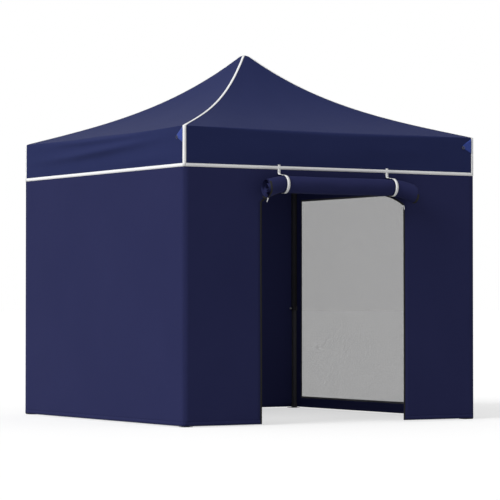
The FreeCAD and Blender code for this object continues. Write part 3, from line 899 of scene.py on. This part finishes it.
def seed_shape(name, size):
    """A small rounded bar to repeat, long along Z because a path's points look that way."""
    mesh = bpy.data.meshes.new(name)
    shape = bmesh.new()
    bmesh.ops.create_cube(shape, size=1.0)
    bmesh.ops.scale(shape, vec=size, verts=shape.verts)
    bmesh.ops.scale(shape, vec=(SEED_END, SEED_END, 1.0), verts=shape.verts)
    lengthwise = [e for e in shape.edges if abs((e.verts[0].co - e.verts[1].co).z) > 0.5 * size[2]]
    bmesh.ops.subdivide_edges(shape, edges=lengthwise, cuts=1)
    for v in shape.verts:
        if abs(v.co.z) < 0.1 * size[2]:
            v.co.x /= SEED_END
            v.co.y /= SEED_END
    shape.to_mesh(mesh)
    shape.free()
    return bpy.data.objects.new(name, mesh)


stitch_seed = seed_shape("stitch_seed", (0.0011, 0.0011, 0.0052))
tooth_seed = seed_shape("tooth_seed", (0.0032, 0.0022, 0.0019))
print("faces of a stitch and a tooth", len(stitch_seed.data.polygons), len(tooth_seed.data.polygons))

# %% The zip tape and its coil
def doorway_path(sign, inset, lift, steps=30):
    """Up the doorway's side and over its shoulder, a distance out from the edge."""
    path = [(sign * (DOOR_HALF + inset), h) for h in spread(WALL_BOTTOM + 0.01, DOOR_SHOULDER, 24)]
    for share in spread(0.0, 1.0, steps)[1:]:
        along = DOOR_HALF - SHOULDER_REACH * share
        turn = math.asin(min(1.0, (along - DOOR_FLAT) / DOOR_ROUND))
        path.append((sign * (along + inset * math.sin(turn)), door_line(along) + inset * math.cos(turn)))
    return [Vector(wall_place(0, along, height, lift)) for along, height in path]


TOOTH_SPACING = 0.0034


def zip_side(sign, name):
    """The tape and the coil on one side of the doorway."""
    inner, outer = doorway_path(sign, 0.0005, 0.0010), doorway_path(sign, ZIP_TAPE, 0.0010)
    middle = [(a + b) / 2 for a, b in zip(inner, outer)]
    strip = ribbon(name + "_tape", middle, lambda k, share: (outer[k] - inner[k]) * share / 2, 0.0008, zip_tape)
    turn_outwards(strip, outwards)
    gather(strip)
    coil = repeat_along(name + "_coil", doorway_path(sign, 0.0008, 0.0020), tooth_seed, TOOTH_SPACING, zip_tape)
    gather(coil)
    return strip, coil


door_zips = [zip_side(-1, "door_zip_left"), zip_side(1, "door_zip_right")]
print("zip teeth", sum(len(coil.data.polygons) for _, coil in door_zips) // len(tooth_seed.data.polygons))

# %% [markdown]
# ## Stitches
#
# The hem binding and the walls' hems are sewn along their upper edges, and the seam tapes along both. The
# stitches are real shapes on the same repeated-shape tree, and they follow the cloth's own formulas, so that
# none of them floats or sinks.

# %% Sew the hem, the hips and the corners
TAPE_STITCH, WALL_STITCH = 0.0075, 0.009  # from one stitch to the next


def sew(name, path, spacing, finish):
    row = repeat_along(name, path, stitch_seed, spacing, finish)
    gather(row)
    return row


def hem_row(side, height):
    """A row along the hem binding."""
    return [valance_point(side, u, EAVE - HEM - height, 0.0015) for u in spread(-0.99, 0.99, 100)]


def seam_row(side, end, share):
    """A row on the seam tape at the right end of a side, on its left or right half."""
    path = []
    for step in range(1, CORNER_STEPS + HIP_STEPS - 1):
        reach, height = seam_line(step)
        inset = share * seam_half_width(step)
        out = reach + 0.0021
        place = (out - inset, out) if end == 0 else (out, out - inset)
        path.append(on_side(side, place[0], place[1], height + (0.0022 if step > CORNER_STEPS else 0.0)))
    return path


for side in range(4):
    row = hem_row(side, HEM_BAND - 0.003)
    sew(f"hem_stitches_{SIDES[side]}", row, TAPE_STITCH, thread_white)
    for end in (0, 1):
        name = f"seam_stitches_{SIDES[side]}_{'ab'[end]}"
        sew(name, seam_row(side, end, 0.85), TAPE_STITCH, thread_white)

# %% Sew the walls' hems and the window's border
def wall_row(side, start, end, height, lift=0.0018):
    return [wall_place(side, along, height, lift) for along in spread(start, end, 60)]


def upright_row(side, along, low, high, lift=0.0008):
    return [wall_place(side, along, height, lift) for height in spread(low, high, 50)]


HEM_STITCH = WALL_BOTTOM + WALL_HEM - 0.003
for side in range(4):
    runs = [(-EDGE, -DOOR_HALF), (DOOR_HALF, EDGE)] if side == 0 else [(-EDGE, EDGE)]
    for k, (start, end) in enumerate(runs):
        row = wall_row(side, start + 0.01, end - 0.01, HEM_STITCH)
        sew(f"wall_hem_stitches_{SIDES[side]}_{k}", row, WALL_STITCH, thread_navy)
STITCH_INSET = 0.010
around = WINDOW_HALF + STITCH_INSET
for name, path in {
    "low": wall_row(1, -around, around, WINDOW_BOTTOM - STITCH_INSET, 0.0008),
    "high": wall_row(1, -around, around, WINDOW_TOP + STITCH_INSET, 0.0008),
    "near": upright_row(1, -around, WINDOW_BOTTOM, WINDOW_TOP),
    "far": upright_row(1, around, WINDOW_BOTTOM, WINDOW_TOP),
}.items():
    sew("window_stitches_" + name, path, WALL_STITCH, thread_navy)

# %% [markdown]
# ## The rolled door
#
# The door is one panel, unzipped, rolled up outwards and tied above the doorway. Rolling it is a spiral: its
# length along the spiral is the panel's height. The roll is slack, so it droops and opens past its ties, and
# its ends show the layers with their zip tape.

# %% The roll's spiral
ROLL_TURNS = 7.0
ROLL_CORE = 0.012
ROLL_OUTER = ROLL_RADIUS - 0.0035
TURN_STEPS = 30
ROLL_LEFT, ROLL_RIGHT = -ROLL_HALF, ROLL_HALF + 0.030  # its right end hangs out further
ROLL_COLUMNS = 72
LEAD_ROWS = 4
START_ANGLE = math.radians(-52)
TIE_WAIST = 0.004
END_GROWTH, END_DROOP = 0.013, 0.045
END_RECESS = 0.030  # the inner layers end further in, as the roll was wound a little unevenly


def roll_state(x):
    """How far past its tie a place on the roll is, and the roll's growth and droop there."""
    past = max(0.0, abs(x) - STRAP_PLACE) / (ROLL_HALF - STRAP_PLACE)
    past = min(1.1, past)
    waist = TIE_WAIST * swell(abs(x), STRAP_PLACE, 0.07)
    return past, END_GROWTH * past**1.3 - waist, END_DROOP * past**1.5


def roll_point(x, share):
    """A point on the spiral: share is 0 at its outer edge and 1 at its core."""
    past, grow, droop = roll_state(x)
    radius = ROLL_OUTER + grow + (ROLL_CORE - ROLL_OUTER - grow * 0.3) * share
    turn = START_ANGLE - 2 * math.pi * ROLL_TURNS * share
    loose = noise.noise(Vector((x * 5.0, math.cos(turn) * 1.3 + share * 3, math.sin(turn) * 1.3)))
    radius += loose * (0.0030 + 0.004 * past) * min(1.0, radius / 0.04)
    flat = 1 - 0.06 * past
    y = ROLL_CENTRE.y - grow * 0.9 + radius * math.cos(turn)
    z = ROLL_CENTRE.z - droop - 0.003 * math.cos(x * 2.2) + radius * flat * math.sin(turn)
    uneven = 0.6 + 0.8 * noise.noise(Vector((share * 9.0, turn * 0.35, 1.0 if x > 0 else 8.0)))
    recess = END_RECESS * uneven * min(1.0, 4 * share) * max(0.0, past) ** 3
    return Vector((x - math.copysign(recess, x), min(y, -WALL_OUT - 0.002), z))


# %% Roll up the door
SPIRAL_ROWS = int(ROLL_TURNS * TURN_STEPS)


def roll_corner(i, j):
    """A few rows lead from the doorway's top edge to the roll, and the rest wind up the spiral."""
    x = ROLL_LEFT + (ROLL_RIGHT - ROLL_LEFT) * i / ROLL_COLUMNS
    if j < LEAD_ROWS:
        t = j / LEAD_ROWS
        edge = Vector(wall_place(0, x, DOOR_TOP + 0.004, 0.0022))
        return tuple(edge.lerp(roll_point(x, 0.0), t)), (x, 2.0 - 0.08 * (1 - t))
    share = ((j - LEAD_ROWS) / SPIRAL_ROWS) ** 0.93
    return tuple(roll_point(x, share)), (x, 1.92 * (1 - share))


def in_roll(i, j):
    x = ROLL_LEFT + (ROLL_RIGHT - ROLL_LEFT) * (i + 0.5) / ROLL_COLUMNS
    return j >= LEAD_ROWS or abs(x) < DOOR_FLAT


ROLL_ROWS = LEAD_ROWS + SPIRAL_ROWS
rolled_door = sheet_object("rolled_door_cloth", roll_corner, ROLL_COLUMNS, ROLL_ROWS, wall_cloth, keep=in_roll)
rolled_door.data.materials.append(zip_tape)
for face in rolled_door.data.polygons:
    x = face.center.x
    if min(x - ROLL_LEFT, ROLL_RIGHT - x) < ZIP_TAPE:
        face.material_index = 1
thicken(rolled_door, CLOTH, 0.0)
gather(rolled_door)
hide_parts("rolled_door")
print("roll faces", len(rolled_door.data.polygons))

# %% Tie it up
TIE_THICK = 0.0016
# how a tie leaves the wall and comes over the roll, as (inwards, up) from the roll's middle
TIE_BEND = [(0.0755, 0.091), (0.068, 0.086), (0.056, 0.0835), (0.040, 0.082), (0.024, 0.0808)]
TIE_ROUND = spread(math.radians(84), math.radians(318), 50)


def tie(x, name):
    """Down the wall from under the valance, over the roll, round it and up behind."""
    path = [Vector(wall_place(0, x, height, 0.0020)) for height in spread(HEM + 0.05, ROLL_CENTRE.z + 0.098, 8)]
    radius = ROLL_OUTER + 0.0022
    path += [Vector((x, ROLL_CENTRE.y + inwards, ROLL_CENTRE.z + up)) for inwards, up in TIE_BEND]
    for turn in TIE_ROUND:
        y = ROLL_CENTRE.y + radius * math.cos(turn)
        path.append(Vector((x, y, ROLL_CENTRE.z - 0.002 + radius * math.sin(turn))))
    path = [Vector((p.x, min(p.y, -WALL_OUT - 0.0012), p.z)) for p in path]
    strap = ribbon(name, path, lambda k, share: (share * STRAP_WIDTH / 2, 0, 0), TIE_THICK, webbing)
    gather(strap)
    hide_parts("front_wall")
    return strap


ties = [tie(-STRAP_PLACE, "door_tie_left"), tie(STRAP_PLACE, "door_tie_right")]
print("ties", [strap.name for strap in ties])

# %% [markdown]
# ## Corner tabs and zip sliders
#
# A blue tab with an eyelet is sewn to each face of the valance at its right-hand corner: it takes a guy rope.
# The tabs are small sheets given thickness and the eyelets are rings. The sliders are small castings with a hinged
# puller, built from outlines in bmesh, given thickness and bevelled edges.

# %% A rolled metal ring
RING_STEPS, WIRE_STEPS = 28, 10


def ring_mesh(name, centre, outward, radius, wire, finish):
    """A rolled metal ring that faces outwards."""
    mesh = bpy.data.meshes.new(name)
    shape = bmesh.new()
    outward = Vector(outward).normalized()
    right = Vector((0, 0, 1)).cross(outward).normalized()
    up = outward.cross(right)
    loops = []
    for k in range(RING_STEPS):
        a = 2 * math.pi * k / RING_STEPS
        spoke = right * math.cos(a) + up * math.sin(a)
        loop = []
        for m in range(WIRE_STEPS):
            b = 2 * math.pi * m / WIRE_STEPS
            off = spoke * (radius + wire * math.cos(b)) + outward * wire * 0.7 * math.sin(b)
            loop.append(shape.verts.new(Vector(centre) + off))
        loops.append(loop)
    for k in range(RING_STEPS):
        a, b = loops[k], loops[(k + 1) % RING_STEPS]
        for m in range(WIRE_STEPS):
            following = (m + 1) % WIRE_STEPS
            shape.faces.new((a[m], b[m], b[following], a[following]))
    bmesh.ops.recalc_face_normals(shape, faces=shape.faces)
    shape.to_mesh(mesh)
    shape.free()
    mesh.materials.append(finish)
    mesh.shade_smooth()
    piece = bpy.data.objects.new(name, mesh)
    bpy.context.scene.collection.objects.link(piece)
    return piece


# %% Tabs with their eyelets
TAB_LENGTH = 0.095
TAB_HEIGHT = 0.135
TAB_TOP = 0.008
TAB_TIP = 0.56  # how far down its height the tab's point is
TAB_NARROWING = 0.84
TAB_COLUMNS, TAB_ROWS = 10, 6

for side in range(4):

    def tab_corner(i, j, side=side):
        share = i / TAB_COLUMNS
        along = HALF - CORNER_BAND - TAB_LENGTH * share
        middle = TAB_TOP + TAB_HEIGHT * (0.5 + (TAB_TIP - 0.5) * share)
        half = TAB_HEIGHT / 2 * (1 - TAB_NARROWING * share)
        depth = middle + half * (2 * j / TAB_ROWS - 1)
        return valance_point(side, along / HALF, depth, 0.0016), (along, depth)

    tab = sheet_object(f"corner_tab_{SIDES[side]}", tab_corner, TAB_COLUMNS, TAB_ROWS, blue_patch)
    turn_outwards(tab, outwards)
    thicken(tab, 0.0014, 0.0)
    gather(tab)
    along = HALF - CORNER_BAND - TAB_LENGTH * 0.97
    place = valance_point(side, along / HALF, TAB_TOP + TAB_HEIGHT * (TAB_TIP + 0.07), 0.0042)
    faces_out = on_side(side, 0, 1, 0)
    eyelet = ring_mesh(f"tab_eyelet_{SIDES[side]}", place, faces_out, 0.0115, 0.0034, eyelet_finish)
    gather(eyelet)

# %% Zip sliders
# outlines as (across, up)
BODY = [(-0.005, -0.006), (0.005, -0.006), (0.007, 0.002), (0.005, 0.008), (-0.005, 0.008), (-0.007, 0.002)]
BRIDGE = [(-0.0015, -0.002), (0.0015, -0.002), (0.0015, 0.006), (-0.0015, 0.006)]
PULLER = [(-0.0035, -0.030), (0.0035, -0.030), (0.0045, -0.012), (0.003, 0.002), (-0.003, 0.002), (-0.0045, -0.012)]
# each plate with the distances out at which it starts and ends
SLIDER_PLATES = [(BODY, 0.0, 0.0045), (BRIDGE, 0.0045, 0.0075), (PULLER, 0.0055, 0.0072)]


def slab(shape, outline, low, high, place):
    """A flat casting from an outline of (across, up), between two distances out."""
    rings = [[shape.verts.new(place(a, u, d)) for a, u in outline] for d in (low, high)]
    shape.faces.new(rings[0])
    shape.faces.new(rings[1])
    for k in range(len(outline)):
        m = (k + 1) % len(outline)
        shape.faces.new((rings[0][k], rings[0][m], rings[1][m], rings[1][k]))


def zip_slider(name, centre, lean):
    """A slider body with a puller that hangs from it, on the front of the door."""

    def place(across, up, out):
        x = across * math.cos(lean) - up * math.sin(lean)
        z = across * math.sin(lean) + up * math.cos(lean)
        return Vector(centre) + Vector((x, -out, z))

    shape = bmesh.new()
    for outline, low, high in SLIDER_PLATES:
        slab(shape, outline, low, high, place)
    bmesh.ops.recalc_face_normals(shape, faces=shape.faces)
    mesh = bpy.data.meshes.new(name)
    shape.to_mesh(mesh)
    shape.free()
    mesh.materials.append(plated)
    piece = bpy.data.objects.new(name, mesh)
    bpy.context.scene.collection.objects.link(piece)
    edges = piece.modifiers.new("soft_edges", "BEVEL")
    edges.width = 0.0006
    edges.segments = 2
    gather(piece)
    return piece


on_jamb = wall_place(0, DOOR_HALF, DOOR_SHOULDER - 0.005, 0.0032)
_, growth, droop = roll_state(ROLL_LEFT)
roll_underside = ROLL_CENTRE.z - droop - ROLL_OUTER - growth
under_roll = (ROLL_LEFT + 0.010, ROLL_CENTRE.y - 0.03, roll_underside + 0.004)
sliders = [zip_slider("zip_slider_doorway", on_jamb, 0.15), zip_slider("zip_slider_rolled", under_roll, -0.35)]
print("zip sliders", [slider.name for slider in sliders])

# %% [markdown]

# The window wall is less than the least share of its rectangle that a sheet may say, so it says that least
# share.

# %% [markdown]
# ## Studio
#
# A pale floor runs far behind the object. A soft sun stands on the left, so that side is the brightest, and an
# even world fills the shadows. A small lamp inside keeps the back wall from going black. For rays that look at
# the background the floor and the world shine a little more, which gives a white background without more
# light on the cloth.

# %% The floor
FLOOR_REACH = 400.0
FLOOR_COLOUR = (0.50, 0.50, 0.50, 1)
FLOOR_GLOW = 0.56


def seen_only(add):
    """1 for rays that look at the background: from the camera, or by way of metal or glass."""
    path = add("ShaderNodeLightPath").outputs
    both = add("ShaderNodeMath", {0: path["Is Camera Ray"], 1: path["Is Glossy Ray"]}, operation="MAXIMUM")
    return add("ShaderNodeMath", {0: both.outputs[0], 1: path["Is Transmission Ray"]}, operation="MAXIMUM").outputs[0]


floor_finish, floor_shader, add = new_material("studio_floor", 0.9)
floor_shader.inputs["Base Color"].default_value = FLOOR_COLOUR
floor_shader.inputs["Specular IOR Level"].default_value = 0.1
floor_shader.inputs["Emission Color"].default_value = (1, 1, 1, 1)
glow = add("ShaderNodeMath", {0: seen_only(add), 1: FLOOR_GLOW}, operation="MULTIPLY")
dress(floor_shader, {"Emission Strength": glow.outputs[0]})
floor_mesh = bpy.data.meshes.new("studio_floor")
floor_corners = [(x * FLOOR_REACH, y * FLOOR_REACH, 0) for x, y in ((-1, -1), (1, -1), (1, 1), (-1, 1))]
floor_mesh.from_pydata(floor_corners, [], [(0, 1, 2, 3)])
floor_mesh.materials.append(floor_finish)
floor = bpy.data.objects.new("studio_floor", floor_mesh)
bpy.context.scene.collection.objects.link(floor)
print("floor", floor.name)

# %% The world
FILL = 0.46

world = bpy.data.worlds.new("studio")
bpy.context.scene.world = world
world.use_nodes = True
background = world.node_tree.nodes["Background"]
background.inputs["Color"].default_value = (1, 1, 1, 1)
add = node_maker(world.node_tree)
strength = add("ShaderNodeMapRange", {"Value": seen_only(add), "To Min": FILL, "To Max": 1.0})
dress(background, {"Strength": strength.outputs[0]})
print("fill", FILL)


# %% The lamps
def stand_lamp(lamp, place, towards):
    """Stands a lamp at a place, shining from the direction given."""
    stand = bpy.data.objects.new(lamp.name, lamp)
    stand.location = place
    stand.rotation_euler = Vector(towards).to_track_quat("Z", "Y").to_euler()
    bpy.context.scene.collection.objects.link(stand)


sun = bpy.data.lights.new("soft_sun", "SUN")
sun.energy = 2.4
sun.angle = 0.6
stand_lamp(sun, (0, 0, 0), (-0.82, -0.12, 0.56))
inside = bpy.data.lights.new("inside_fill", "AREA")
inside.shape = "DISK"
inside.size = 1.4
inside.energy = 14.0
stand_lamp(inside, (0.0, -0.9, 1.9), (0.3, -2.35, 0.9))
print("lamps", sun.name, inside.name)

# %% Camera
CAMERA_PLACE = (-11.757, -19.435, 1.015)
CAMERA_TURN = (math.radians(91.3), 0.0, -0.5463)

camera = bpy.data.cameras.new("camera")
camera.sensor_width = 36.0
camera.lens = 177.7
camera.clip_end = 2000.0
stand = bpy.data.objects.new("camera", camera)
stand.location = CAMERA_PLACE
stand.rotation_euler = CAMERA_TURN
bpy.context.scene.collection.objects.link(stand)
bpy.context.scene.camera = stand
bpy.context.scene.view_settings.view_transform = "Standard"
